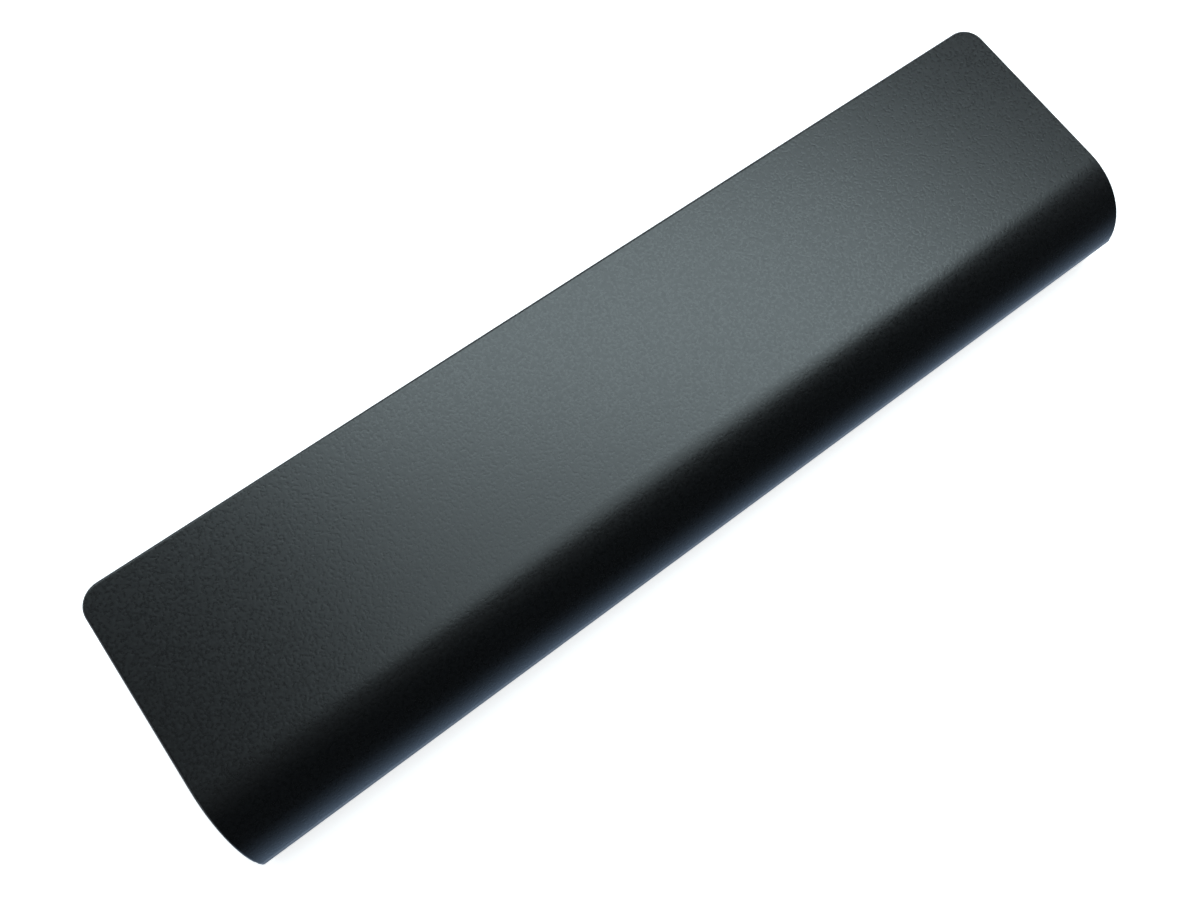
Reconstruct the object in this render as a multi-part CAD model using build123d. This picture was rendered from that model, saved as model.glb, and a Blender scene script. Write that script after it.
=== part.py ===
from build123d import *
import os

# A laptop battery pack: six cylindrical cells in two rows of three, joined by nickel strips and
# watched by a circuit board, in a two-piece moulded case with one round long edge, the nose.
# The cover is the skin of a laptop's hinge edge, so its nose ends in an edge that overhangs the base.
# X runs along the pack, Y from the nose to the flat back, and Z up.
# The origin is on the underside, in the middle of the overall length and width.
# Every size is in millimetres.

# Cells, over their sleeves
CELL_DIAMETER = 18.3
CELL_LENGTH = 65.0
CELL_GROUPS = 3
CELL_CLEARANCE = 0.15
ROW_GAP = 0.2
GROUP_GAP = 1.4
CELL_NUB_DIAMETER = 8.0
CELL_NUB_HEIGHT = 0.9

# Case walls
FLOOR = 1.0
ROOF = 1.0
SIDE_WALL = 1.5
END_SPACE = 2.1
NOSE_RADIUS = 15.8
BACK_CORNER_RADIUS = 4.3
EDGE_ROUND = 0.6
FOOT_CHAMFER = 0.4

# Lap joint between the cover and the base
PARTING_HEIGHT = 7.9
LIP_THICKNESS = 0.7
LIP_HEIGHT = 1.0
LIP_CLEARANCE = 0.05
SEAM_DEPTH = 0.25
SEAM_HEIGHT = 0.3

# Ribs, cradles and snaps inside the case
RIB_THICKNESS = 1.2
CRADLE_OFFSET = 22.0
CUSP_INSET = 3.4
VALLEY_DEPTH = 4.0
RIB_CLEARANCE = 0.1
SNAP_WIDTH = 6.0
SNAP_THICKNESS = 1.2
SNAP_REACH = 0.7
SNAP_HOOK_HEIGHT = 1.6
SNAP_LEDGE_HEIGHT = 1.0
SNAP_CLEARANCE = 0.1
SNAP_FRONT_OFFSET = 56.0
SNAP_BACK_OFFSET = 74.0

# Features of the base that meet the laptop
TONGUE_REACH = 2.4
TONGUE_WIDTH = 12.0
TONGUE_THICKNESS = 1.8
TONGUE_HEIGHT = 1.2
TONGUE_CHAMFER = 0.5
TONGUE_OFFSET = 84.0
POCKET_LENGTH = 10.0
POCKET_WIDTH = 3.8
POCKET_DEPTH = 2.4
POCKET_SETBACK = 2.6
POCKET_WALL = 1.0
POCKET_OFFSET = 78.0
RECESS_LENGTH = 150.0
RECESS_FRONT = 10.0
RECESS_BACK = 8.0
RECESS_DEPTH = 0.25
RECESS_CORNER = 2.0

# Tapes, papers and the insulating sheet
TAPE_THICKNESS = 0.15
TAPE_WIDTH = 6.0
TAPE_MARGIN = 0.3
PAPER_THICKNESS = 0.25
PAPER_OVERLAP = 2.0
PAPER_CORNER = 1.5
SHEET_THICKNESS = 0.2
SHEET_OVERLAP = 2.0

# Nickel strips
STRIP_THICKNESS = 0.15
STRIP_WIDTH = 9.0
STRIP_OVERRUN = 5.0
FOLD_WIDTH = 5.5
TAB_WIDTH = 3.0
TAB_PROUD = 0.6
TAB_CLEARANCE = 0.15

# Circuit board, which stands behind the cells
BOARD_STANDOFF = 1.0
BOARD_THICKNESS = 1.0
BOARD_TO_WALL = 6.5
BOARD_OVERHANG = 14.7
BOARD_LEDGE = 1.4
BOARD_HEADROOM = 2.6
BOARD_CLEARANCE = 0.1
GUIDE_WALL = 1.0
GUIDE_GRIP = 1.6
GUIDE_INSET = 3.0

# Connector
CONTACTS = 7
CONTACT_PITCH = 3.6
CONTACT_THICKNESS = 0.2
CONTACT_HEIGHT = 3.6
CONTACT_ROOT = 0.55
CONTACT_PINCH = 0.25
CONTACT_FLARE = 0.45
CONTACT_SETBACK = 0.8
CONTACT_CLEARANCE = 0.15
CONNECTOR_HEIGHT = 6.2
CONNECTOR_MARGIN = 1.2
CONNECTOR_RECESS = 0.3
CONNECTOR_CLEARANCE = 0.1
CONNECTOR_TO_TAB = 20.0
MOUTH_CHAMFER = 0.35
FLANGE_THICKNESS = 1.2
FLANGE_OVERLAP = 1.5

# Parts on the board, placed from the tabs that pass through it
GAUGE_LENGTH = 9.7
GAUGE_WIDTH = 4.4
GAUGE_FROM_TAB = 7.0
GAUGE_LEGS = 10
SWITCH_LENGTH = 5.0
SWITCH_WIDTH = 3.9
SWITCH_GAP = 1.2
SWITCH_FROM_TAB = 14.5
SWITCH_LEGS = 4
CHIP_THICKNESS = 1.3
LEG_LENGTH = 0.9
LEG_WIDTH = 0.35
LEG_THICKNESS = 0.25
SENSE_LENGTH = 6.4
SENSE_HEIGHT = 3.2
SENSE_THICKNESS = 0.7
FUSE_LENGTH = 5.4
FUSE_HEIGHT = 3.2
FUSE_THICKNESS = 1.4
OUTER_FROM_TAB = 8.0
LOWER_ROW = 3.4
PASSIVE_LENGTH = 1.6
PASSIVE_WIDTH = 0.8
PASSIVE_PITCH = 1.7
PASSIVE_ROW = 7.2
PASSIVE_COUNT = 4
CAPACITOR_THICKNESS = 0.8
RESISTOR_THICKNESS = 0.5

# Leads and thermistor
LEAD_DIAMETER = 1.6
LEAD_PAD_LENGTH = 5.0
BEAD_DIAMETER = 1.8
BEAD_LENGTH = 4.0
BEAD_FROM_BOARD = 5.0
BEAD_LEG_THICKNESS = 0.4
BEAD_LEG_SPREAD = 1.0

# Sizes and places that follow from these
CELL_RADIUS = CELL_DIAMETER / 2
ROW_PITCH = CELL_DIAMETER + ROW_GAP
GROUP_PITCH = CELL_LENGTH + GROUP_GAP
CELLS_END = (CELL_GROUPS * GROUP_PITCH - GROUP_GAP) / 2
LENGTH = 2 * (CELLS_END + END_SPACE + SIDE_WALL)
THICKNESS = FLOOR + TAPE_THICKNESS + CELL_DIAMETER + CELL_CLEARANCE + ROOF
BOARD_BAY = BOARD_STANDOFF + BOARD_THICKNESS + BOARD_TO_WALL
NOSE_EDGE_RISE = max(0, PARTING_HEIGHT - (THICKNESS - NOSE_RADIUS))
NOSE_REACH = (NOSE_RADIUS ** 2 - NOSE_EDGE_RISE ** 2) ** 0.5
OVERHANG = LIP_THICKNESS + LIP_CLEARANCE
WIDTH = NOSE_REACH + ROW_PITCH + CELL_RADIUS + BOARD_BAY + SIDE_WALL
FRONT = -(WIDTH + TONGUE_REACH) / 2
BACK = FRONT + WIDTH
BASE_FRONT = FRONT + OVERHANG
INNER_FRONT = BASE_FRONT + SIDE_WALL
INNER_BACK = BACK - SIDE_WALL
INNER_END = LENGTH / 2 - SIDE_WALL
INNER_TOP = THICKNESS - ROOF
LIP_TOP = PARTING_HEIGHT + LIP_HEIGHT
FRONT_ROW = FRONT + NOSE_REACH
NOSE_FRONT = FRONT_ROW - NOSE_RADIUS
BACK_ROW = FRONT_ROW + ROW_PITCH
CELL_AXIS = FLOOR + TAPE_THICKNESS + CELL_RADIUS
CELLS_BACK = BACK_ROW + CELL_RADIUS
ROWS = {"front": FRONT_ROW, "back": BACK_ROW}
GROUP_STARTS = [index * GROUP_PITCH - CELLS_END for index in range(CELL_GROUPS)]
GROUP_ENDS = [start + CELL_LENGTH for start in GROUP_STARTS]
BOARD_INNER = CELLS_BACK + BOARD_STANDOFF
BOARD_OUTER = BOARD_INNER + BOARD_THICKNESS
BOARD_END = GROUP_PITCH / 2 + BOARD_OVERHANG
BOARD_BOTTOM = FLOOR + BOARD_LEDGE
BOARD_TOP = INNER_TOP - BOARD_HEADROOM
STRIP_LOW = CELL_AXIS - STRIP_WIDTH / 2
STRIP_HIGH = CELL_AXIS + STRIP_WIDTH / 2
STRIP_FRONT = FRONT_ROW - STRIP_OVERRUN
STRIP_BACK = BACK_ROW + STRIP_OVERRUN
TABS = [end + STRIP_THICKNESS / 2 for end in GROUP_ENDS[:-1]]
TAB_ROW = STRIP_LOW + TAB_WIDTH / 2
LEAD_ROW = STRIP_HIGH - TAB_WIDTH / 2
CONNECTOR_X = TABS[1] - CONNECTOR_TO_TAB
CONNECTOR_HALF = CONTACTS * CONTACT_PITCH / 2 + CONNECTOR_MARGIN
CONNECTOR_LOW = PARTING_HEIGHT + CONNECTOR_CLEARANCE
CONNECTOR_HIGH = CONNECTOR_LOW + CONNECTOR_HEIGHT
CONNECTOR_AXIS = CONNECTOR_LOW + CONNECTOR_HEIGHT / 2
CONNECTOR_FACE = BACK - CONNECTOR_RECESS


def block(x, y, z):
    """Box between the (low, high) pairs of the three directions."""
    pairs = (x, y, z)
    size = [high - low for low, high in pairs]
    middle = [(low + high) / 2 for low, high in pairs]
    return Pos(*middle) * Box(*size)


def about(middle, width):
    """The (low, high) pair of a width about its middle."""
    return (middle - width / 2, middle + width / 2)


def rod(x, y, z, radius):
    """Cylinder along X between the (low, high) pair x."""
    start = (Align.CENTER, Align.CENTER, Align.MIN)
    return Pos(x[0], y, z) * Rot(0, 90, 0) * Cylinder(radius, x[1] - x[0], align=start)


def prism(points, x):
    """Upright section of (y, z) points, drawn out between the (low, high) pair x."""
    face = Plane.YZ * make_face(Polyline(*points, close=True))
    return Pos(x[0], 0, 0) * extrude(face, x[1] - x[0])


def turned(points):
    """Body turned about X from a closed profile of (axial, radial) points."""
    return revolve(Plane.XZ * make_face(Polyline(*points, close=True)), Axis.X)


def union(shapes):
    """One body from overlapping shapes."""
    first, *rest = shapes
    return first.fuse(*rest) if rest else first


def plan(inset, z, front=BASE_FRONT):
    """Upright prism of the case outline, moved in by inset, with the back corners rounded."""
    end = LENGTH / 2 - inset
    body = block((-end, end), (front + inset, BACK - inset), z)
    corners = body.edges().filter_by(Axis.Z).group_by(Axis.Y)[-1]
    return fillet(corners, BACK_CORNER_RADIUS - inset)


def nosed(body, radius):
    """The body with its upper front edge rounded into the nose."""
    edge = body.edges().filter_by(Axis.X).group_by(Axis.Y)[0].sort_by(Axis.Z)[-1]
    return fillet(edge, radius)


def cover_body():
    """Closed outer form of the cover: the flat face, the nose and one edge round about them."""
    body = nosed(plan(0, (0, THICKNESS), NOSE_FRONT), NOSE_RADIUS)
    rim = body.edges().filter_by(Axis.X).group_by(Axis.Z)[-1].sort_by(Axis.Y)[-1]
    above = block((-LENGTH, LENGTH), (2 * FRONT, 2 * BACK), (PARTING_HEIGHT, 2 * THICKNESS))
    return fillet(rim, EDGE_ROUND) & above


def base_body():
    """Closed outer form of the base: plumb, set back under the nose, with a chamfer at the foot."""
    body = plan(0, (0, PARTING_HEIGHT))
    body = fillet(body.edges().filter_by(Axis.Z).group_by(Axis.Y)[0], EDGE_ROUND)
    foot = body.edges().filter_by(Axis.X).group_by(Axis.Z)[0].sort_by(Axis.Y)[-1]
    return chamfer(foot, min(FOOT_CHAMFER, 0.8 * EDGE_ROUND))


def cell_room():
    """The two bores that the rows of cells lie in, play included."""
    reach = (-LENGTH, LENGTH)
    return union([rod(reach, y, CELL_AXIS, CELL_RADIUS + CELL_CLEARANCE) for y in ROWS.values()])


def stations():
    """Places along X of the cradles: two to a group of cells."""
    middles = [start + CELL_LENGTH / 2 for start in GROUP_STARTS]
    return [middle + side * CRADLE_OFFSET for middle in middles for side in (-1, 1)]


def guide_stations():
    """Places along X of the guides that hold the two ends of the board."""
    return [-BOARD_END + GUIDE_INSET, BOARD_END - GUIDE_INSET]


def snap_places():
    """(x, wall, inward) of the snaps: three along the nose and two behind the cells."""
    front = [(x, INNER_FRONT, 1) for x in (-SNAP_FRONT_OFFSET, 0, SNAP_FRONT_OFFSET)]
    back = [(x, INNER_BACK, -1) for x in (-SNAP_BACK_OFFSET, SNAP_BACK_OFFSET)]
    return front + back


def snap_ledge(x, wall, inward):
    """Catch on the inside of a cover wall."""
    y = sorted((wall - inward * SIDE_WALL / 2, wall + inward * SNAP_REACH))
    low = LIP_TOP + RIB_CLEARANCE + LIP_CLEARANCE
    return block(about(x, SNAP_WIDTH), y, (low, low + SNAP_LEDGE_HEIGHT))


def snap_arm(x, wall, inward):
    """Arm of the base whose hook lies over the catch."""
    near = wall + inward * (SNAP_REACH + SNAP_CLEARANCE)
    far = near + inward * SNAP_THICKNESS
    low = LIP_TOP + RIB_CLEARANCE + LIP_CLEARANCE + SNAP_LEDGE_HEIGHT + SNAP_CLEARANCE
    high = low + SNAP_HOOK_HEIGHT
    arm = block(about(x, SNAP_WIDTH), sorted((near, far)), (FLOOR / 2, high))
    tip = near - inward * SNAP_REACH
    hook = prism([(far, low), (tip, low), (near, high), (far, high)], about(x, SNAP_WIDTH))
    return arm.fuse(hook)


def cover():
    """Upper shell with the flat face and the nose."""
    body = cover_body()
    shell = body - nosed(plan(SIDE_WALL, (FLOOR, INNER_TOP), NOSE_FRONT), NOSE_RADIUS - SIDE_WALL)
    lap = SIDE_WALL - LIP_THICKNESS - LIP_CLEARANCE
    shell -= plan(lap, (0, LIP_TOP + LIP_CLEARANCE))
    rib_low = LIP_TOP + RIB_CLEARANCE + LIP_CLEARANCE
    roof = THICKNESS - ROOF / 2
    ribs = []
    for x in stations():
        width = about(x, RIB_THICKNESS)
        ribs.append(body & block(width, (FRONT, FRONT_ROW - CUSP_INSET), (rib_low, THICKNESS)))
        valley = (FRONT_ROW + CUSP_INSET, BACK_ROW - CUSP_INSET)
        ribs.append(block(width, valley, (CELL_AXIS + VALLEY_DEPTH, roof)))
    slot_y = (BOARD_INNER - BOARD_CLEARANCE, BOARD_OUTER + BOARD_CLEARANCE)
    for x in guide_stations():
        grip = (BOARD_TOP - GUIDE_GRIP, roof)
        clamp = block(about(x, RIB_THICKNESS), (BACK_ROW + CUSP_INSET, slot_y[1] + GUIDE_WALL), grip)
        ribs.append(clamp - block(about(x, SNAP_WIDTH), slot_y, (0, BOARD_TOP + BOARD_CLEARANCE)))
    stop = CELLS_END + STRIP_THICKNESS + PAPER_THICKNESS + RIB_CLEARANCE
    for y in ROWS.values():
        for end in (-1, 1):
            reach = sorted((end * stop, end * (INNER_END + SIDE_WALL / 2)))
            ribs.append(block(reach, about(y, RIB_THICKNESS), (rib_low, roof)))
    shell = union([shell] + [rib - cell_room() for rib in ribs])
    shell = union([shell] + [snap_ledge(*place) for place in snap_places()])
    notch = CONNECTOR_HALF + CONNECTOR_CLEARANCE
    height = (0, CONNECTOR_HIGH + CONNECTOR_CLEARANCE)
    return shell - block(about(CONNECTOR_X, 2 * notch), (INNER_BACK - SIDE_WALL / 2, 2 * BACK), height)


def base():
    """Lower tray with the lap lip, the cradles, the snap arms and what meets the laptop."""
    tray = base_body() - plan(SIDE_WALL, (FLOOR, THICKNESS))
    seam = (PARTING_HEIGHT - SEAM_HEIGHT, PARTING_HEIGHT)
    tray -= plan(-SIDE_WALL, seam) - plan(SEAM_DEPTH, seam)
    lip_z = (PARTING_HEIGHT - LIP_HEIGHT, LIP_TOP)
    lip = plan(SIDE_WALL - LIP_THICKNESS, lip_z) - plan(SIDE_WALL, lip_z)
    notch = CONNECTOR_HALF + FLANGE_OVERLAP
    gap_z = (PARTING_HEIGHT, 2 * LIP_TOP)
    lip -= block(about(CONNECTOR_X, 2 * notch), (INNER_BACK - SIDE_WALL, BACK), gap_z)
    ribs = []
    for x in stations():
        cradle = block(about(x, RIB_THICKNESS), (INNER_FRONT - SIDE_WALL / 2, CELLS_BACK),
                       (FLOOR / 2, PARTING_HEIGHT))
        for y in ROWS.values():
            cradle -= block(about(x, SNAP_WIDTH), about(y, TAPE_WIDTH + 2 * TAPE_MARGIN), (FLOOR, THICKNESS))
        ribs.append(cradle - cell_room())
    slot_y = (BOARD_INNER - BOARD_CLEARANCE, BOARD_OUTER + BOARD_CLEARANCE)
    for x in guide_stations():
        guide = block(about(x, RIB_THICKNESS), (slot_y[0] - GUIDE_WALL, slot_y[1] + GUIDE_WALL),
                      (FLOOR / 2, BOARD_BOTTOM + GUIDE_GRIP))
        ribs.append(guide - block(about(x, SNAP_WIDTH), slot_y, (BOARD_BOTTOM, THICKNESS)) - cell_room())
    ribs += [snap_arm(*place) for place in snap_places()]
    pocket_y = (BASE_FRONT + POCKET_SETBACK, BASE_FRONT + POCKET_SETBACK + POCKET_WIDTH)
    pockets = []
    for x in (-POCKET_OFFSET, POCKET_OFFSET):
        pockets.append(block(about(x, POCKET_LENGTH), pocket_y, (-1, POCKET_DEPTH)))
        ribs.append(block(about(x, POCKET_LENGTH + 2 * POCKET_WALL),
                          (pocket_y[0] - POCKET_WALL, pocket_y[1] + POCKET_WALL),
                          (FLOOR / 2, POCKET_DEPTH + POCKET_WALL)))
    tongue_high = TONGUE_HEIGHT + TONGUE_THICKNESS
    tip = BACK + TONGUE_REACH
    side = [(INNER_BACK + SIDE_WALL / 2, TONGUE_HEIGHT), (tip - TONGUE_CHAMFER, TONGUE_HEIGHT),
            (tip, TONGUE_HEIGHT + TONGUE_CHAMFER), (tip, tongue_high - TONGUE_CHAMFER),
            (tip - TONGUE_CHAMFER, tongue_high), (INNER_BACK + SIDE_WALL / 2, tongue_high)]
    ribs += [prism(side, about(x, TONGUE_WIDTH)) for x in (-TONGUE_OFFSET, TONGUE_OFFSET)]
    tray = union([tray, lip] + ribs)
    recess_y = (BASE_FRONT + RECESS_FRONT, BACK - RECESS_BACK)
    recess = block(about(0, RECESS_LENGTH), recess_y, (-1, RECESS_DEPTH))
    recess = fillet(recess.edges().filter_by(Axis.Z), RECESS_CORNER)
    return tray.cut(recess, *pockets)


def cell():
    """Sleeved can with its positive nub, from the closed end at X = 0."""
    shoulder = CELL_LENGTH - CELL_NUB_HEIGHT
    nub = CELL_NUB_DIAMETER / 2
    return turned([
        (0, 0), (0, CELL_RADIUS), (shoulder, CELL_RADIUS),
        (shoulder, nub), (CELL_LENGTH, nub), (CELL_LENGTH, 0),
    ])


def leaf(x):
    """Flat part of a strip across both rows, between the (low, high) pair x."""
    return block(x, (STRIP_FRONT, STRIP_BACK), (STRIP_LOW, STRIP_HIGH))


def tab(x, row, reach):
    """Narrow continuation of a leaf at the height row, as far back as reach."""
    return block(x, (STRIP_BACK - TAB_WIDTH, reach), about(row, TAB_WIDTH))


def series_strip(gap):
    """Strip folded in the gap between two groups, with the tab that the board reads it by."""
    start = GROUP_ENDS[gap]
    near = (start, start + STRIP_THICKNESS)
    far = (start + GROUP_GAP - STRIP_THICKNESS, start + GROUP_GAP)
    fold_z = (STRIP_HIGH - FOLD_WIDTH, STRIP_HIGH)
    bend = Cylinder(GROUP_GAP / 2, FOLD_WIDTH) - Cylinder(GROUP_GAP / 2 - STRIP_THICKNESS, FOLD_WIDTH)
    bend = Pos(start + GROUP_GAP / 2, STRIP_BACK, sum(fold_z) / 2) * bend
    bend &= block((start, start + GROUP_GAP), (STRIP_BACK, STRIP_BACK + GROUP_GAP), fold_z)
    return union([leaf(near), leaf(far), bend, tab(near, TAB_ROW, BOARD_OUTER + TAB_PROUD)])


def end_strip(end):
    """Strip across the outer ends of the cells, with a tab for the lead."""
    x = sorted((end * CELLS_END, end * (CELLS_END + STRIP_THICKNESS)))
    return union([leaf(x), tab(x, LEAD_ROW, BOARD_OUTER + LEAD_DIAMETER)])


def end_paper(end):
    """Insulating paper over an end strip."""
    inner = CELLS_END + STRIP_THICKNESS
    x = sorted((end * inner, end * (inner + PAPER_THICKNESS)))
    paper = block(x, (STRIP_FRONT - PAPER_OVERLAP, STRIP_BACK + PAPER_OVERLAP),
                  (STRIP_LOW - PAPER_OVERLAP, STRIP_HIGH + PAPER_OVERLAP))
    return chamfer(paper.edges().filter_by(Axis.X), PAPER_CORNER)


def tape(y):
    """Double-sided tape under a row of cells."""
    return block((-CELLS_END, CELLS_END), about(y, TAPE_WIDTH), (FLOOR, FLOOR + TAPE_THICKNESS))


def tab_slots():
    """Slots that the tabs of the series strips pass through on their way out of the board."""
    width = STRIP_THICKNESS + 2 * TAB_CLEARANCE
    height = about(TAB_ROW, TAB_WIDTH + 2 * TAB_CLEARANCE)
    return [block(about(x, width), (BACK_ROW, BOARD_OUTER + TAB_PROUD), height) for x in TABS]


def insulating_sheet():
    """Sheet that lies against the back row, clear of the guides of the board."""
    z = (BOARD_BOTTOM + GUIDE_GRIP, BOARD_TOP - GUIDE_GRIP - RIB_CLEARANCE)
    end = BOARD_END + SHEET_OVERLAP
    sheet = block((-end, end), (CELLS_BACK, CELLS_BACK + SHEET_THICKNESS), z)
    return sheet.cut(*tab_slots())


def circuit_board():
    """Board that stands in the guides of the case."""
    board = block((-BOARD_END, BOARD_END), (BOARD_INNER, BOARD_OUTER), (BOARD_BOTTOM, BOARD_TOP))
    return board.cut(*tab_slots())


def on_board(x, z, length, height, thickness):
    """Block on the outer face of the board, about the place x, z."""
    return block(about(x, length), (BOARD_OUTER, BOARD_OUTER + thickness), about(z, height))


def chip(x, z, length, width, legs):
    """Moulded chip with a row of legs along its two long sides; its length runs up the board."""
    body = on_board(x, z, width, length, CHIP_THICKNESS)
    pitch = length / legs
    rows = [z + (index - (legs - 1) / 2) * pitch for index in range(legs)]
    span = width + 2 * LEG_LENGTH
    return union([body] + [on_board(x, row, span, LEG_WIDTH, LEG_THICKNESS) for row in rows])


def passives(x, z, thickness):
    """Row of small two-ended parts along the board."""
    places = [x + (index - (PASSIVE_COUNT - 1) / 2) * PASSIVE_PITCH for index in range(PASSIVE_COUNT)]
    return [on_board(place, z, PASSIVE_WIDTH, PASSIVE_LENGTH, thickness) for place in places]


def connector_housing():
    """Block with a slot for each blade and a flange that the back wall holds in."""
    x = about(CONNECTOR_X, 2 * CONNECTOR_HALF)
    housing = block(x, (BOARD_OUTER, CONNECTOR_FACE), (CONNECTOR_LOW, CONNECTOR_HIGH))
    flange_back = INNER_BACK - CONNECTOR_CLEARANCE
    housing = housing.fuse(block(about(CONNECTOR_X, 2 * (CONNECTOR_HALF + FLANGE_OVERLAP)),
                                 (flange_back - FLANGE_THICKNESS, flange_back),
                                 (CONNECTOR_LOW, CONNECTOR_HIGH + FLANGE_OVERLAP)))
    width = 2 * (CONTACT_ROOT + CONTACT_THICKNESS + CONTACT_CLEARANCE)
    height = CONTACT_HEIGHT + 2 * CONTACT_CLEARANCE
    slots = [block(about(place, width), (BOARD_OUTER, BACK), about(CONNECTOR_AXIS, height))
             for place in contact_places()]
    housing = housing.cut(*slots)
    mouth = housing.faces().filter_by(Axis.Y).sort_by(Axis.Y)[-1]
    return chamfer([edge for wire in mouth.inner_wires() for edge in wire.edges()], MOUTH_CHAMFER)


def contact_places():
    """Places along X of the contacts."""
    return [CONNECTOR_X + (index - (CONTACTS - 1) / 2) * CONTACT_PITCH for index in range(CONTACTS)]


def contact(x):
    """Forked contact: a foot on the board and two leaves that pinch the blade."""
    foot = BOARD_OUTER + CONTACT_THICKNESS
    tip = CONNECTOR_FACE - CONTACT_SETBACK
    pinch = tip - (tip - foot) / 4
    shapes = [block(about(x, 2 * (CONTACT_ROOT + CONTACT_THICKNESS)), (BOARD_OUTER, foot),
                    about(CONNECTOR_AXIS, CONTACT_HEIGHT))]
    for side in (-1, 1):
        line = [(CONTACT_ROOT, BOARD_OUTER), (CONTACT_PINCH, pinch), (CONTACT_FLARE, tip)]
        outer = [(half + CONTACT_THICKNESS, y) for half, y in reversed(line)]
        points = [(x + side * half, y) for half, y in line + outer]
        face = make_face(Polyline(*points, close=True))
        low = CONNECTOR_AXIS - CONTACT_HEIGHT / 2
        shapes.append(Pos(0, 0, low) * extrude(face, CONTACT_HEIGHT, dir=(0, 0, 1)))
    return union(shapes)


def lead(end):
    """Insulated wire, held straight from the tab of an end strip to a pad at the end of the board."""
    x = sorted((end * CELLS_END, end * (BOARD_END - LEAD_PAD_LENGTH)))
    return rod(x, BOARD_OUTER + LEAD_DIAMETER / 2, LEAD_ROW, LEAD_DIAMETER / 2)


def thermistor():
    """Bead against a cell of the back row, with two legs to the end of the board."""
    start = BOARD_END + BEAD_FROM_BOARD
    bead = rod((start, start + BEAD_LENGTH), CELLS_BACK + BEAD_DIAMETER / 2, CELL_AXIS, BEAD_DIAMETER / 2)
    leg_x = (BOARD_END, start + BEAD_LENGTH / 2)
    leg_y = (BOARD_INNER, BOARD_INNER + BEAD_LEG_THICKNESS)
    legs = [block(leg_x, leg_y, about(z, BEAD_LEG_THICKNESS)) for z in about(CELL_AXIS, BEAD_LEG_SPREAD)]
    return union([bead] + legs)


def assembly():
    """Every node of the part by name."""
    nodes = {"cover": cover(), "base": base()}
    for row, y in ROWS.items():
        for index, start in enumerate(GROUP_STARTS):
            nodes[f"cell_{row}_{index + 1}"] = Pos(start, y, CELL_AXIS) * cell()
        nodes[f"tape_{row}"] = tape(y)
    for sign, end in (("negative", -1), ("positive", 1)):
        nodes[f"strip_{sign}"] = end_strip(end)
        nodes[f"end_paper_{sign}"] = end_paper(end)
        nodes[f"lead_{sign}"] = lead(end)
    for gap in range(CELL_GROUPS - 1):
        nodes[f"strip_series_{gap + 1}"] = series_strip(gap)
    nodes["insulating_sheet"] = insulating_sheet()
    nodes["circuit_board"] = circuit_board()
    nodes["connector_housing"] = connector_housing()
    for index, x in enumerate(contact_places()):
        nodes[f"contact_{index + 1}"] = contact(x)
    lower = BOARD_BOTTOM + LOWER_ROW
    upper = lower + SWITCH_LENGTH + SWITCH_GAP
    switch_x = TABS[0] + SWITCH_FROM_TAB
    gauge_z = (BOARD_BOTTOM + BOARD_TOP) / 2
    nodes["gauge_chip"] = chip(TABS[0] + GAUGE_FROM_TAB, gauge_z, GAUGE_LENGTH, GAUGE_WIDTH, GAUGE_LEGS)
    nodes["charge_switch"] = chip(switch_x, lower, SWITCH_LENGTH, SWITCH_WIDTH, SWITCH_LEGS)
    nodes["discharge_switch"] = chip(switch_x, upper, SWITCH_LENGTH, SWITCH_WIDTH, SWITCH_LEGS)
    left = TABS[0] - OUTER_FROM_TAB
    right = TABS[1] + OUTER_FROM_TAB
    nodes["sense_resistor"] = on_board(left, lower, SENSE_LENGTH, SENSE_HEIGHT, SENSE_THICKNESS)
    nodes["fuse"] = on_board(right, lower, FUSE_LENGTH, FUSE_HEIGHT, FUSE_THICKNESS)
    row = BOARD_BOTTOM + PASSIVE_ROW
    nodes["capacitors"] = Compound(passives(right, row, CAPACITOR_THICKNESS))
    nodes["resistors"] = Compound(passives(left, row, RESISTOR_THICKNESS))
    nodes["thermistor"] = thermistor()
    return nodes


os.makedirs("parts", exist_ok=True)
for name, shape in assembly().items():
    export_step(shape, f"parts/{name}.step")
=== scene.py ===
from math import hypot, radians

import bmesh
import bpy
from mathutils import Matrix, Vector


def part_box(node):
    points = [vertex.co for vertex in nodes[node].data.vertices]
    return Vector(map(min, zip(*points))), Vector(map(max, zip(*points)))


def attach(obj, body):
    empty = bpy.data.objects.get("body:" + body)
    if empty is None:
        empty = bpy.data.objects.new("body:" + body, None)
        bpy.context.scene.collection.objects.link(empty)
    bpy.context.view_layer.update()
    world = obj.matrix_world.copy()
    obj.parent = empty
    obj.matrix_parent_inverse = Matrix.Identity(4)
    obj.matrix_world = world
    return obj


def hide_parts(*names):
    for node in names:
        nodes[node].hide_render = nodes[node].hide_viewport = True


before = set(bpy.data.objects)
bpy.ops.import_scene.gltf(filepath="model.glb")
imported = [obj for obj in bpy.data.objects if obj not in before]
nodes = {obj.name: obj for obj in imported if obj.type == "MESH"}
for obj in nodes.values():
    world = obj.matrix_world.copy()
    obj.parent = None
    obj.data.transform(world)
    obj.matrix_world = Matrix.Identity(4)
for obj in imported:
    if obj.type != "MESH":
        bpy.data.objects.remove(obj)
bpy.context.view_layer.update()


# Base: the lower tray of the case, injection moulded in black ABS and polycarbonate. The mould is
# spark-eroded, so its faces have one fine matt grain of shallow pits.
HOLLOWS = 0.35
TOPS = 0.65
SAME_POINT = 0.000001
SHARP_CASE_EDGE = radians(30)


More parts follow.
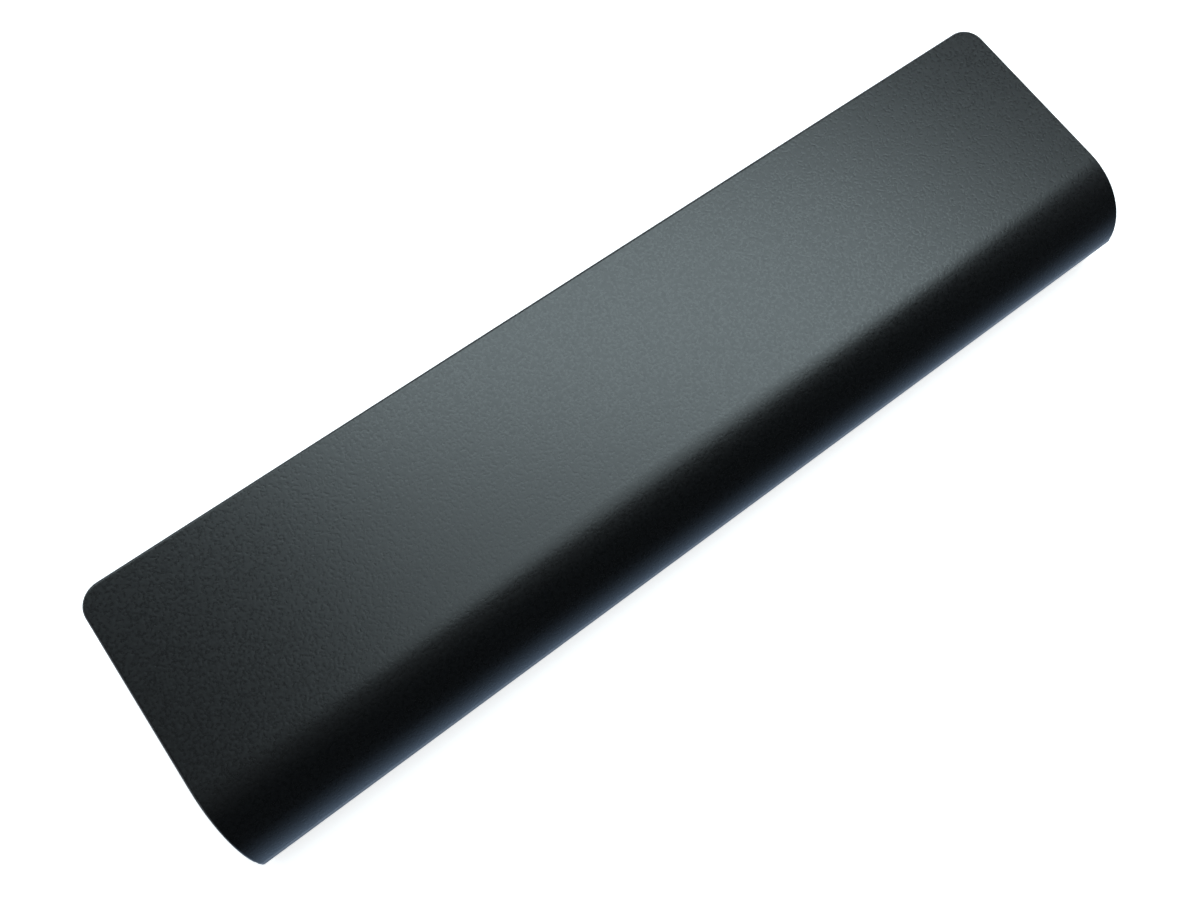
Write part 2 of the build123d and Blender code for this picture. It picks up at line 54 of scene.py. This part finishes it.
def new_finish(name, **even):
    """Material with one shader, and the values that are the same all over it."""
    finish = bpy.data.materials.new(name)
    finish.use_nodes = True
    shader = finish.node_tree.nodes["Principled BSDF"]
    for socket, value in even.items():
        shader.inputs[socket.replace("_", " ").title().replace("Ior", "IOR")].default_value = value
    return finish


def lumps(finish, size, detail=2.0):
    """Uneven height, with lumps of the size (x, y, z) in metres, fixed to the piece."""
    tree = finish.node_tree
    place = tree.nodes.new("ShaderNodeTexCoord")
    spread = tree.nodes.new("ShaderNodeMapping")
    spread.inputs["Scale"].default_value = [1 / length for length in size]
    noise = tree.nodes.new("ShaderNodeTexNoise")
    noise.inputs["Scale"].default_value = 1
    noise.inputs["Detail"].default_value = detail
    tree.links.new(place.outputs["Object"], spread.inputs["Vector"])
    tree.links.new(spread.outputs["Vector"], noise.inputs["Vector"])
    return noise.outputs["Fac"]


def tint(finish, height, low, high):
    """Colour that runs from low in the hollows of height to high on its tops."""
    tree = finish.node_tree
    ramp = tree.nodes.new("ShaderNodeValToRGB")
    for stop, position, colour in zip(ramp.color_ramp.elements, (HOLLOWS, TOPS), (low, high)):
        stop.position = position
        stop.color = (*colour, 1)
    tree.links.new(height, ramp.inputs["Fac"])
    tree.links.new(ramp.outputs["Color"], tree.nodes["Principled BSDF"].inputs["Base Color"])


def matt(finish, height, low, high):
    """Roughness from low in the hollows of height to high on its tops."""
    tree = finish.node_tree
    spread = tree.nodes.new("ShaderNodeMapRange")
    for socket, value in (("From Min", HOLLOWS), ("From Max", TOPS), ("To Min", low), ("To Max", high)):
        spread.inputs[socket].default_value = value
    tree.links.new(height, spread.inputs["Value"])
    tree.links.new(spread.outputs["Result"], tree.nodes["Principled BSDF"].inputs["Roughness"])


def relief(finish, height, depth):
    """Raised and sunk surface, depth metres between the lowest and the highest of height."""
    tree = finish.node_tree
    bump = tree.nodes.new("ShaderNodeBump")
    bump.inputs["Distance"].default_value = depth
    tree.links.new(height, bump.inputs["Height"])
    tree.links.new(bump.outputs["Normal"], tree.nodes["Principled BSDF"].inputs["Normal"])


def stand_in(mesh, node):
    """Piece with the mesh, in place of a node of the frame."""
    piece = bpy.data.objects.new(mesh.name, mesh)
    bpy.context.scene.collection.objects.link(piece)
    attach(piece, "root")
    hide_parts(node)
    return piece


case_grain = new_finish("case_grain")
sparks = lumps(case_grain, (0.00056, 0.00056, 0.00056), 3)
tint(case_grain, sparks, (0.0017, 0.0020, 0.0022), (0.0029, 0.0033, 0.0036))
matt(case_grain, sparks, 0.255, 0.335)
relief(case_grain, sparks, 0.000029)


def moulding(name):
    """Half of the case: the form of its node, with flats that run evenly into rounds."""
    shell = bmesh.new()
    shell.from_mesh(nodes[name].data)
    bmesh.ops.remove_doubles(shell, verts=shell.verts[:], dist=SAME_POINT)
    for face in shell.faces:
        face.smooth = True
    mesh = bpy.data.meshes.new("moulded_" + name)
    shell.to_mesh(mesh)
    shell.free()
    mesh.set_sharp_from_angle(angle=SHARP_CASE_EDGE)
    mesh.materials.append(case_grain)
    piece = stand_in(mesh, name)
    even_rounds = piece.modifiers.new("even_rounds", "WEIGHTED_NORMAL")
    even_rounds.keep_sharp = True


moulding("base")


# Tapes: two strips of double-sided tissue tape on the floor of the base, which hold the rows of
# cells. The tissue shows through the dry glue as pale fibres along the strip.

def coat(finish, *names):
    """Gives the finish to pieces of the frame."""
    for name in names:
        nodes[name].material_slots[0].material = finish


tape_tissue = new_finish("tape_tissue")
fibres = lumps(tape_tissue, (0.0030, 0.0003, 0.0003), 4)
tint(tape_tissue, fibres, (0.74, 0.72, 0.64), (0.86, 0.85, 0.80))
matt(tape_tissue, fibres, 0.55, 0.75)
relief(tape_tissue, fibres, 0.00002)
coat(tape_tissue, "tape_front", "tape_back")


# Cells: six deep-drawn steel cans, rolled in near the positive rim and closed by a crimp over the
# cap. A plain film sleeve is shrunk over the can and both rims, on a paper ring at the cap.
SLEEVE_ROUND = 0.0006
SLEEVE_MOUTH = 0.0070
ROLL_FROM_RIM = 0.0034
ROLL_WIDTH = 0.0022
ROLL_DEPTH = 0.00035
CAP_RADIUS = 0.0040
CAP_HEIGHT = 0.0009
CAP_ROUND = 0.0002
ROUND_MIDDLE = 0.293  # how far the middle of a round stands back from both its sides, of its radius
CELL_STEPS = 64
SHARP_CELL_EDGE = radians(40)

sleeve_film = new_finish("sleeve_film", specular_ior_level=0.55)
shrink_lines = lumps(sleeve_film, (0.0140, 0.0009, 0.0009), 3)
tint(sleeve_film, shrink_lines, (0.118, 0.330, 0.280), (0.128, 0.352, 0.299))
matt(sleeve_film, shrink_lines, 0.27, 0.33)
relief(sleeve_film, shrink_lines, 0.000008)

can_steel = new_finish("can_steel", metallic=1.0)
drawn_marks = lumps(can_steel, (0.0004, 0.0016, 0.0016), 4)
tint(can_steel, drawn_marks, (0.50, 0.49, 0.47), (0.62, 0.61, 0.59))
matt(can_steel, drawn_marks, 0.24, 0.40)

ring_paper = new_finish("ring_paper")
ring_fibres = lumps(ring_paper, (0.0003, 0.0003, 0.0003), 5)
tint(ring_paper, ring_fibres, (0.62, 0.60, 0.53), (0.76, 0.74, 0.68))
matt(ring_paper, ring_fibres, 0.75, 0.92)


def cell_profile(length, radius):
    """Half section of a sleeved can as (along, out) points, from the middle of its closed end."""
    rim = length - CAP_HEIGHT
    roll = rim - ROLL_FROM_RIM
    shoulder = ROUND_MIDDLE * SLEEVE_ROUND
    edge = ROUND_MIDDLE * CAP_ROUND
    return [
        (0, 0), (0, SLEEVE_MOUTH), (0, radius - SLEEVE_ROUND), (shoulder, radius - shoulder),
        (SLEEVE_ROUND, radius), (roll - ROLL_WIDTH / 2, radius),
        (roll - ROLL_WIDTH / 4, radius - ROLL_DEPTH / 2), (roll, radius - ROLL_DEPTH),
        (roll + ROLL_WIDTH / 4, radius - ROLL_DEPTH / 2), (roll + ROLL_WIDTH / 2, radius),
        (rim - SLEEVE_ROUND, radius), (rim - shoulder, radius - shoulder), (rim, radius - SLEEVE_ROUND),
        (rim, SLEEVE_MOUTH), (rim, CAP_RADIUS), (length - CAP_ROUND, CAP_RADIUS),
        (length - edge, CAP_RADIUS - edge), (length, CAP_RADIUS - CAP_ROUND), (length, 0),
    ]


def sleeved_cell(name):
    """Cell in place of a plain one of the frame."""
    low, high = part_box(name)
    middle = (low + high) / 2
    length = high.x - low.x
    can = bmesh.new()
    points = [can.verts.new((along, 0, out)) for along, out in cell_profile(length, (high.z - low.z) / 2)]
    line = [can.edges.new(pair) for pair in zip(points, points[1:])]
    bmesh.ops.spin(can, geom=points + line, axis=(1, 0, 0), angle=radians(360), steps=CELL_STEPS,
                   use_merge=True)
    bmesh.ops.remove_doubles(can, verts=can.verts[:], dist=SAME_POINT)
    bmesh.ops.recalc_face_normals(can, faces=can.faces[:])
    for face in can.faces:
        along, *across = face.calc_center_median()
        out = hypot(*across)
        at_cap = along > length - 2 * CAP_HEIGHT
        face.smooth = True
        if out < CAP_RADIUS or (out < SLEEVE_MOUTH and not at_cap):
            face.material_index = 1
        elif out < SLEEVE_MOUTH:
            face.material_index = 2
    bmesh.ops.translate(can, verts=can.verts[:], vec=(low.x, middle.y, middle.z))
    mesh = bpy.data.meshes.new("sleeved_" + name)
    can.to_mesh(mesh)
    can.free()
    mesh.set_sharp_from_angle(angle=SHARP_CELL_EDGE)
    for finish in (sleeve_film, can_steel, ring_paper):
        mesh.materials.append(finish)
    stand_in(mesh, name)


for row in ("front", "back"):
    for number in (1, 2, 3):
        sleeved_cell(f"cell_{row}_{number}")


# Strips: nickel ribbon, slit and rolled bright, folded between the groups and resistance welded to
# the ends of the cells. The rolling leaves fine lines along the ribbon, which runs across the rows.
nickel_ribbon = new_finish("nickel_ribbon", metallic=1.0)
rolling_lines = lumps(nickel_ribbon, (0.0003, 0.0060, 0.00018), 4)
tint(nickel_ribbon, rolling_lines, (0.60, 0.58, 0.53), (0.74, 0.72, 0.67))
matt(nickel_ribbon, rolling_lines, 0.20, 0.34)
relief(nickel_ribbon, rolling_lines, 0.000004)
coat(nickel_ribbon, "strip_negative", "strip_positive", "strip_series_1", "strip_series_2")


# End papers: die-cut vulcanised fibre with a glued back, over the strips at both ends of the cells.
# It is a dense grey-green sheet with a short felted fibre.
fibre_sheet = new_finish("fibre_sheet", specular_ior_level=0.25)
felt = lumps(fibre_sheet, (0.0004, 0.0007, 0.0004), 5)
tint(fibre_sheet, felt, (0.34, 0.39, 0.35), (0.44, 0.49, 0.45))
matt(fibre_sheet, felt, 0.72, 0.90)
relief(fibre_sheet, felt, 0.00002)
coat(fibre_sheet, "end_paper_negative", "end_paper_positive")


# Insulating sheet: pale polyester film that lies against the back row of cells, slit for the two tabs
# that go through it to the board. It is satin, with faint waves from the roll it came off.
polyester_film = new_finish("polyester_film", specular_ior_level=0.5)
roll_waves = lumps(polyester_film, (0.0090, 0.0010, 0.0120), 1)
tint(polyester_film, roll_waves, (0.76, 0.73, 0.62), (0.83, 0.80, 0.70))
matt(polyester_film, roll_waves, 0.32, 0.44)
relief(polyester_film, roll_waves, 0.00004)
coat(polyester_film, "insulating_sheet")


# Circuit board: glass laminate under green solder resist. The copper tracks stand up through the
# resist and are paler. The board stands on edge, so its tracks run along X and up Z.
TRACK_PITCH = 0.0011
TRACK_RUN = 0.0270
TRACK_WIDTH = 0.00030

solder_resist = new_finish("solder_resist", specular_ior_level=0.6)
board_tree = solder_resist.node_tree
board_place = board_tree.nodes.new("ShaderNodeTexCoord")
stand_up = board_tree.nodes.new("ShaderNodeMapping")
stand_up.inputs["Rotation"].default_value = (radians(-90), 0, 0)
tracks = board_tree.nodes.new("ShaderNodeTexBrick")
tracks.offset = 0.27
tracks.offset_frequency = 3
tracks.squash = 0.45
tracks.squash_frequency = 2
for socket, value in (("Scale", 1), ("Brick Width", TRACK_RUN), ("Row Height", TRACK_PITCH),
                      ("Mortar Size", TRACK_WIDTH / 2), ("Mortar Smooth", 0.3)):
    tracks.inputs[socket].default_value = value
for socket, colour in (("Color1", (0.016, 0.105, 0.045, 1)), ("Color2", (0.020, 0.120, 0.052, 1)),
                       ("Mortar", (0.036, 0.185, 0.078, 1))):
    tracks.inputs[socket].default_value = colour
board_tree.links.new(board_place.outputs["Object"], stand_up.inputs["Vector"])
board_tree.links.new(stand_up.outputs["Vector"], tracks.inputs["Vector"])
board_tree.links.new(tracks.outputs["Color"], board_tree.nodes["Principled BSDF"].inputs["Base Color"])
matt(solder_resist, lumps(solder_resist, (0.0005, 0.0005, 0.0005), 3), 0.26, 0.36)
relief(solder_resist, tracks.outputs["Fac"], 0.00003)
coat(solder_resist, "circuit_board")


# Chips: the gauge and the two switches of the pack, moulded in black epoxy on lead frames. Their
# tinned legs stand out of the long sides and are soldered to the board.
GAUGE_BODY = 0.0044
SWITCH_BODY = 0.0039
BARE_TIN = (0.62, 0.62, 0.60, 1)


def beyond(finish, axis, middle, half):
    """1 where a piece is more than half metres from middle along the axis, and 0 between."""
    tree = finish.node_tree
    place = tree.nodes.new("ShaderNodeTexCoord")
    split = tree.nodes.new("ShaderNodeSeparateXYZ")
    tree.links.new(place.outputs["Object"], split.inputs["Vector"])
    value = split.outputs[axis]
    for operation, number in (("SUBTRACT", middle), ("ABSOLUTE", 0), ("GREATER_THAN", half)):
        step = tree.nodes.new("ShaderNodeMath")
        step.operation = operation
        step.inputs[1].default_value = number
        tree.links.new(value, step.inputs[0])
        value = step.outputs["Value"]
    return value


def colour_mix(tree, share):
    """Mix of two colours, with the share of the second: its two inputs and its result."""
    mix = tree.nodes.new("ShaderNodeMix")
    mix.data_type = "RGBA"
    tree.links.new(share, mix.inputs["Factor"])
    first, second = [socket for socket in mix.inputs if socket.identifier in ("A_Color", "B_Color")]
    result = next(socket for socket in mix.outputs if socket.identifier == "Result_Color")
    return first, second, result


def tinned(finish, ends):
    """Bare tin where ends is 1: pale and metallic, over the colour that the finish already has."""
    tree = finish.node_tree
    shader = tree.nodes["Principled BSDF"]
    below, above, tinted = colour_mix(tree, ends)
    above.default_value = BARE_TIN
    tree.links.new(shader.inputs["Base Color"].links[0].from_socket, below)
    tree.links.new(tinted, shader.inputs["Base Color"])
    tree.links.new(ends, shader.inputs["Metallic"])


def moulded_chip(name, body):
    """Black chip whose legs are everything beyond its body."""
    low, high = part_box(name)
    finish = new_finish(name + "_epoxy")
    filler = lumps(finish, (0.00012, 0.00012, 0.00012), 4)
    tint(finish, filler, (0.016, 0.016, 0.017), (0.030, 0.030, 0.031))
    matt(finish, filler, 0.42, 0.58)
    relief(finish, filler, 0.000006)
    tinned(finish, beyond(finish, "X", (low.x + high.x) / 2, body / 2))
    coat(finish, name)


moulded_chip("gauge_chip", GAUGE_BODY)
moulded_chip("charge_switch", SWITCH_BODY)
moulded_chip("discharge_switch", SWITCH_BODY)


# Fuse, sense resistor, capacitors and resistors: fired ceramic blocks with tinned caps on both ends,
# which are soldered to the board. The resistors have a dark glaze, the others are bare.
CAP_SHARE = 0.28
GLAZE_LOW = (0.014, 0.014, 0.016)
GLAZE_HIGH = (0.024, 0.024, 0.027)


def capped_block(name, axis, low_colour, high_colour, low_matt, high_matt):
    """Ceramic block, or a row of them, with tinned caps at both ends along the axis."""
    low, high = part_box(name)
    index = "XYZ".index(axis)
    half = (high[index] - low[index]) / 2
    finish = new_finish(name + "_ceramic")
    firing = lumps(finish, (0.00025, 0.00025, 0.00025), 4)
    tint(finish, firing, low_colour, high_colour)
    matt(finish, firing, low_matt, high_matt)
    tinned(finish, beyond(finish, axis, low[index] + half, half * (1 - 2 * CAP_SHARE)))
    coat(finish, name)


capped_block("fuse", "X", (0.62, 0.56, 0.45), (0.72, 0.66, 0.55), 0.50, 0.65)
capped_block("capacitors", "Z", (0.40, 0.29, 0.17), (0.48, 0.36, 0.22), 0.42, 0.56)
capped_block("sense_resistor", "X", GLAZE_LOW, GLAZE_HIGH, 0.36, 0.46)
capped_block("resistors", "Z", GLAZE_LOW, GLAZE_HIGH, 0.36, 0.46)


# Connector: a plain black moulding of glass-filled plastic with a slot for each blade, and seven
# forked contacts of spring bronze with a gold flash, pushed in from the board side.
CONTACTS = 7

connector_moulding = new_finish("connector_moulding")
glass_fill = lumps(connector_moulding, (0.0004, 0.0004, 0.0012), 4)
tint(connector_moulding, glass_fill, (0.0040, 0.0042, 0.0045), (0.0075, 0.0078, 0.0082))
matt(connector_moulding, glass_fill, 0.30, 0.40)
relief(connector_moulding, glass_fill, 0.000008)
coat(connector_moulding, "connector_housing")

gold_flash = new_finish("gold_flash", metallic=1.0)
stamping = lumps(gold_flash, (0.0004, 0.0020, 0.0002), 3)
tint(gold_flash, stamping, (0.70, 0.50, 0.19), (0.83, 0.63, 0.29))
matt(gold_flash, stamping, 0.20, 0.32)
coat(gold_flash, *[f"contact_{number}" for number in range(1, CONTACTS + 1)])


# Leads: stranded copper wire in red and black insulation, from the tabs of the end strips to pads on
# the board. The last few millimetres at both ends are stripped and tinned.
STRIPPED = 0.0022


def stripped_lead(name, low_colour, high_colour):
    """Insulated wire with bare ends."""
    low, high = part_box(name)
    half = (high.x - low.x) / 2
    finish = new_finish(name + "_insulation", specular_ior_level=0.45)
    draw_marks = lumps(finish, (0.0030, 0.0003, 0.0003), 3)
    tint(finish, draw_marks, low_colour, high_colour)
    matt(finish, draw_marks, 0.34, 0.46)
    relief(finish, draw_marks, 0.00001)
    tinned(finish, beyond(finish, "X", low.x + half, half - STRIPPED))
    coat(finish, name)


stripped_lead("lead_negative", (0.010, 0.010, 0.011), (0.018, 0.018, 0.019))
stripped_lead("lead_positive", (0.40, 0.016, 0.014), (0.50, 0.024, 0.020))


# Thermistor: a bead dipped in dark resin that lies against a cell and reads its warmth, on two tinned
# legs from the end of the board. Resin is thickest at the bead and stops short of the board.
RESIN_REACH = 0.0046

bead_resin = new_finish("bead_resin", specular_ior_level=0.6)
drips = lumps(bead_resin, (0.0012, 0.0008, 0.0008), 2)
tint(bead_resin, drips, (0.022, 0.018, 0.014), (0.040, 0.033, 0.026))
matt(bead_resin, drips, 0.14, 0.24)
relief(bead_resin, drips, 0.00006)
tinned(bead_resin, beyond(bead_resin, "X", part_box("thermistor")[1].x, RESIN_REACH))
coat(bead_resin, "thermistor")


# Cover: the upper shell, moulded in the same black plastic and with the same grain as the base. It
# laps over the base, snaps into it and is the side that shows in a laptop.
moulding("cover")


# Floor: a round sheet of white acrylic lit from below. It is even and pale, its reflection doesn't
# show in the case, and from underneath it is clear, so that the underside of the pack shows.
FLOOR_RADIUS = 2.0
FLOOR_SIDES = 96
FLOOR_DROP = 0.0001
FLOOR_GLOW = 0.74

sheet = bmesh.new()
bmesh.ops.create_circle(sheet, cap_ends=True, segments=FLOOR_SIDES, radius=FLOOR_RADIUS)
bmesh.ops.translate(sheet, verts=sheet.verts[:], vec=(0, 0, -FLOOR_DROP))
floor_mesh = bpy.data.meshes.new("floor")
sheet.to_mesh(floor_mesh)
sheet.free()
floor = bpy.data.objects.new("floor", floor_mesh)
bpy.context.scene.collection.objects.link(floor)
floor.visible_glossy = False

acrylic = new_finish("lit_acrylic", roughness=0.9, specular_ior_level=0.0, emission_strength=FLOOR_GLOW,
                     emission_color=(1, 1, 1, 1))
tint(acrylic, lumps(acrylic, (0.05, 0.05, 0.05)), (0.80, 0.80, 0.80), (0.82, 0.82, 0.82))
floor_tree = acrylic.node_tree
side = floor_tree.nodes.new("ShaderNodeNewGeometry")
clear = floor_tree.nodes.new("ShaderNodeBsdfTransparent")
one_way = floor_tree.nodes.new("ShaderNodeMixShader")
floor_tree.links.new(side.outputs["Backfacing"], one_way.inputs["Fac"])
floor_tree.links.new(floor_tree.nodes["Principled BSDF"].outputs["BSDF"], one_way.inputs[1])
floor_tree.links.new(clear.outputs["BSDF"], one_way.inputs[2])
floor_tree.links.new(one_way.outputs["Shader"], floor_tree.nodes["Material Output"].inputs["Surface"])
floor_mesh.materials.append(acrylic)


# Room: dark around the near side, so that the nose stays black, with pale walls on the far side, a
# cool grey below and a dim ceiling. Behind the pack it is as pale as the floor.
CEILING = (0.97, (0.16, 0.17, 0.18))
NEAR_DARK = (0.037, 0.041, 0.046)
BACKDROP = (0.96, 0.96, 0.96, 1)
NEAR_ENDS = -0.60
FAR_STARTS = -0.05

room = bpy.data.worlds.new("room")
bpy.context.scene.world = room
room.use_nodes = True
room_tree = room.node_tree
outlook = room_tree.nodes.new("ShaderNodeTexCoord")
bearing = room_tree.nodes.new("ShaderNodeSeparateXYZ")
upward = room_tree.nodes.new("ShaderNodeMapRange")
upward.inputs["From Min"].default_value = -1
room_tree.links.new(outlook.outputs["Generated"], bearing.inputs["Vector"])
room_tree.links.new(bearing.outputs["Z"], upward.inputs["Value"])


def wall(*stops):
    """Shades of a wall from straight down (0) to straight up (1)."""
    shades = room_tree.nodes.new("ShaderNodeValToRGB")
    elements = shades.color_ramp.elements
    for _ in stops[2:]:
        elements.new(0.5)
    for element, (position, colour) in zip(elements, stops):
        element.position = position
        element.color = (*colour, 1)
    room_tree.links.new(upward.outputs["Result"], shades.inputs["Fac"])
    return shades.outputs["Color"]


near_wall = wall((0.14, (0.44, 0.62, 0.88)), (0.47, NEAR_DARK), (0.86, NEAR_DARK), CEILING)
far_wall = wall((0.14, (0.70, 0.84, 1.04)), (0.50, (0.94, 1.02, 1.10)), (0.72, (0.60, 0.65, 0.70)),
                (0.84, (0.05, 0.05, 0.06)), CEILING)
farness = room_tree.nodes.new("ShaderNodeMapRange")
farness.interpolation_type = "SMOOTHSTEP"
farness.inputs["From Min"].default_value = NEAR_ENDS
farness.inputs["From Max"].default_value = FAR_STARTS
room_tree.links.new(bearing.outputs["Y"], farness.inputs["Value"])
near_side, far_side, around = colour_mix(room_tree, farness.outputs["Result"])
room_tree.links.new(near_wall, near_side)
room_tree.links.new(far_wall, far_side)
surroundings = room_tree.nodes["Background"]
room_tree.links.new(around, surroundings.inputs["Color"])
backdrop = room_tree.nodes.new("ShaderNodeBackground")
backdrop.inputs["Color"].default_value = BACKDROP
rays = room_tree.nodes.new("ShaderNodeLightPath")
seen = room_tree.nodes.new("ShaderNodeMixShader")
room_tree.links.new(rays.outputs["Is Camera Ray"], seen.inputs["Fac"])
room_tree.links.new(surroundings.outputs["Background"], seen.inputs[1])
room_tree.links.new(backdrop.outputs["Background"], seen.inputs[2])
room_tree.links.new(seen.outputs["Shader"], room_tree.nodes["World Output"].inputs["Surface"])


# Light: a square softbox above the far right of the pack, and a longer one a little higher that runs
# from the far left to the near right. Their reflections lie over each other on the flat face.
COOL_WHITE = (0.83, 1.0, 1.05)


def softbox(name, length, width, turn, place, energy):
    """Lamp with an even rectangle of light that faces down."""
    lamp = bpy.data.lights.new(name, "AREA")
    lamp.shape = "RECTANGLE"
    lamp.size = length
    lamp.size_y = width
    lamp.energy = energy
    lamp.color = COOL_WHITE
    stand = bpy.data.objects.new(name, lamp)
    stand.location = place
    stand.rotation_euler = (0, 0, radians(turn))
    bpy.context.scene.collection.objects.link(stand)


softbox("square_softbox", 0.595, 0.578, -7.5, (0.197, 0.145, 0.62), 2.05)
softbox("long_softbox", 1.400, 0.304, -40.5, (0.032, 0.410, 0.66), 4.35)


# Camera: above the near left of the pack and close to it, looking down along its length. The lens is
# a fairly wide one, so the left end looks larger than the right.
lens = bpy.data.cameras.new("camera")
lens.sensor_width = 36
lens.lens = 29.352
lens.clip_start = 0.01
camera = bpy.data.objects.new("camera", lens)
camera.location = (-0.05430, -0.03863, 0.18701)
camera.rotation_euler = (radians(16.592), radians(-3.578), radians(-36.473))
bpy.context.scene.collection.objects.link(camera)
bpy.context.scene.camera = camera
bpy.context.scene.view_settings.view_transform = "Standard"
